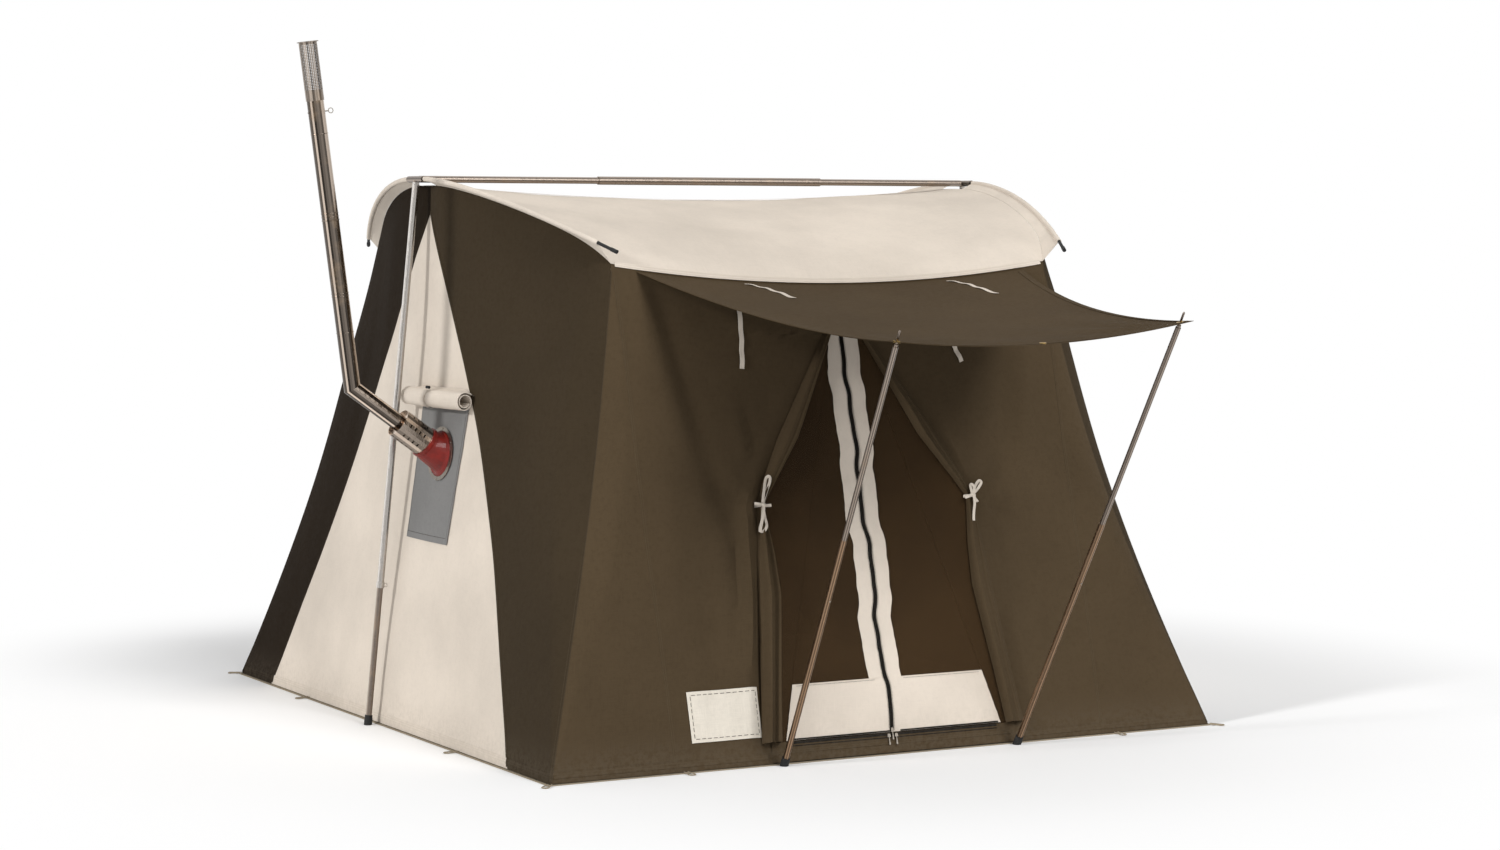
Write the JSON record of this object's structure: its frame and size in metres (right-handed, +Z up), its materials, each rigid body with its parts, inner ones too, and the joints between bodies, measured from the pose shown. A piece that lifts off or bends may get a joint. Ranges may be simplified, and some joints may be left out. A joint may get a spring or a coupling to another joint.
{
  "type": "canvas hot tent with stove pipe",
  "caption": "Canvas ridge tent held by an outside frame, with a propped awning, a zipped screen door and a stove pipe that leaves one end through a heat-proof boot.",
  "frame": {"origin": "on the ground under the middle of the floor", "axes": "+Z up, +X along the ridge, away from the stove pipe, -Y out through the door"},
  "size_m": [3.153, 3.8606, 2.4803],
  "materials": {
    "olive_canvas": "dark olive-brown cotton canvas",
    "cream_canvas": "cream cotton canvas",
    "grey_panel": "heat-resistant grey cloth",
    "mesh": "dark insect screen",
    "webbing": "beige tape and cord",
    "floor_cloth": "coated floor cloth",
    "steel_tube": "dull tube",
    "stainless": "polished stainless steel",
    "silicone": "red silicone",
    "rubber": "black rubber",
    "brass": "brass"
  },
  "bodies": {
    "tent": {"floor": "floor_cloth", "ground_webbing": "webbing", "front_wall_left": "olive_canvas", "front_wall_right": "olive_canvas", "door_sill": "olive_canvas", "back_wall": "olive_canvas", "gable_left_front": "olive_canvas", "gable_left_back": "olive_canvas", "gable_right_front": "olive_canvas", "gable_right_back": "olive_canvas", "door_flap_left": "olive_canvas", "door_flap_right": "olive_canvas", "awning": "olive_canvas", "gable_left_centre": "cream_canvas", "gable_right_centre": "cream_canvas", "roof": "cream_canvas", "rod_sleeve_left": "cream_canvas", "rod_sleeve_right": "cream_canvas", "roll_flap": "cream_canvas", "door_side_mesh_left": "mesh", "door_side_mesh_right": "mesh", "jack_panel": "grey_panel", "pipe_boot": "silicone", "clamp_ring": "stainless", "spring_rod_left": "steel_tube", "spring_rod_right": "steel_tube", "tee_left": "steel_tube", "tee_right": "steel_tube", "ridge_tube_left": "steel_tube", "ridge_tube_right": "steel_tube", "side_pole_upper_left": "steel_tube", "side_pole_upper_right": "steel_tube", "awning_pole_lower_left": "steel_tube", "awning_pole_lower_right": "steel_tube", "awning_pole_foot_left": "rubber", "awning_pole_foot_right": "rubber", "awning_grommet_left": "brass", "awning_grommet_right": "brass"},
    "side_leg_left": {"side_pole_lower_left": "steel_tube", "side_pole_foot_left": "rubber"},
    "side_leg_right": {"side_pole_lower_right": "steel_tube", "side_pole_foot_right": "rubber"},
    "awning_post_left": {"awning_pole_upper_left": "steel_tube"},
    "awning_post_right": {"awning_pole_upper_right": "steel_tube"},
    "button_left": {"snap_button_left": "steel_tube"},
    "button_right": {"snap_button_right": "steel_tube"},
    "ridge_centre": {"ridge_sleeve": "steel_tube"},
    "stove_pipe": {"stove_pipe_lower": "stainless", "vent_guard": "stainless", "pipe_elbow": "stainless", "stove_pipe_upper": "stainless"},
    "damper_valve": {"damper": "stainless"},
    "arrestor": {"spark_arrestor": "stainless"},
    "door_left": {"door_mesh_left": "mesh", "door_band_left": "cream_canvas"},
    "door_right": {"door_mesh_right": "mesh", "door_band_right": "cream_canvas"},
    "centre_slider": {"zip_slider_centre": "stainless"},
    "left_slider": {"zip_slider_left": "stainless"},
    "right_slider": {"zip_slider_right": "stainless"}
  },
  "joints": [
    {"name": "side_leg_left_slide", "type": "slide", "parent": "tent", "child": "side_leg_left", "axis": [0.1, 0, 0.995], "range_m": [0, 0.3]},
    {"name": "side_leg_right_slide", "type": "slide", "parent": "tent", "child": "side_leg_right", "axis": [-0.1, 0, 0.995], "range_m": [0, 0.3]},
    {"name": "awning_post_left_slide", "type": "slide", "parent": "tent", "child": "awning_post_left", "axis": [-0.0435, -0.4919, 0.8696], "range_m": [-0.5, 0]},
    {"name": "awning_post_right_slide", "type": "slide", "parent": "tent", "child": "awning_post_right", "axis": [0.0426, -0.481, 0.8757], "range_m": [-0.5, 0]},
    {"name": "button_left_press", "type": "slide", "parent": "tent", "child": "button_left", "axis": [-0.0246, 0.8707, 0.4913], "range_m": [0, 0.003], "stiffness_N_per_m": 400, "springref_m": -0.002},
    {"name": "button_right_press", "type": "slide", "parent": "tent", "child": "button_right", "axis": [0.0234, 0.8767, 0.4804], "range_m": [0, 0.003], "stiffness_N_per_m": 400, "springref_m": -0.002},
    {"name": "ridge_centre_slide", "type": "slide", "parent": "tent", "child": "ridge_centre", "axis": [1, 0, 0], "range_m": [-0.15, 0.08]},
    {"name": "stove_pipe_slide", "type": "slide", "parent": "tent", "child": "stove_pipe", "axis": [-0.809, 0, 0.5878], "range_m": [0, 0.18]},
    {"name": "damper_turn", "type": "hinge", "parent": "stove_pipe", "child": "damper_valve", "pos_m": [-1.6801, -0.26988, 2.22941], "axis": [0.9914, 0, 0.1305], "continuous": true},
    {"name": "arrestor_slide", "type": "slide", "parent": "stove_pipe", "child": "arrestor", "axis": [-0.1305, 0, 0.9914], "range_m": [0, 0.03]},
    {"name": "door_left_fold", "type": "hinge", "parent": "tent", "child": "door_left", "pos_m": [-0.44, -1.4409, 0.07277], "axis": [-0.2576, -0.2466, -0.9343], "range_deg": [0, 90]},
    {"name": "door_right_fold", "type": "hinge", "parent": "tent", "child": "door_right", "pos_m": [0.44, -1.4409, 0.07277], "axis": [-0.2576, 0.2466, 0.9343], "range_deg": [0, 90]},
    {"name": "centre_slider_slide", "type": "slide", "parent": "door_left", "child": "centre_slider", "axis": [0, 0.2552, 0.9669], "range_m": [0, 1.36]},
    {"name": "left_slider_slide", "type": "slide", "parent": "tent", "child": "left_slider", "axis": [-1, 0, 0], "range_m": [0, 0.36]},
    {"name": "right_slider_slide", "type": "slide", "parent": "tent", "child": "right_slider", "axis": [1, 0, 0], "range_m": [0, 0.36]}
  ]
}
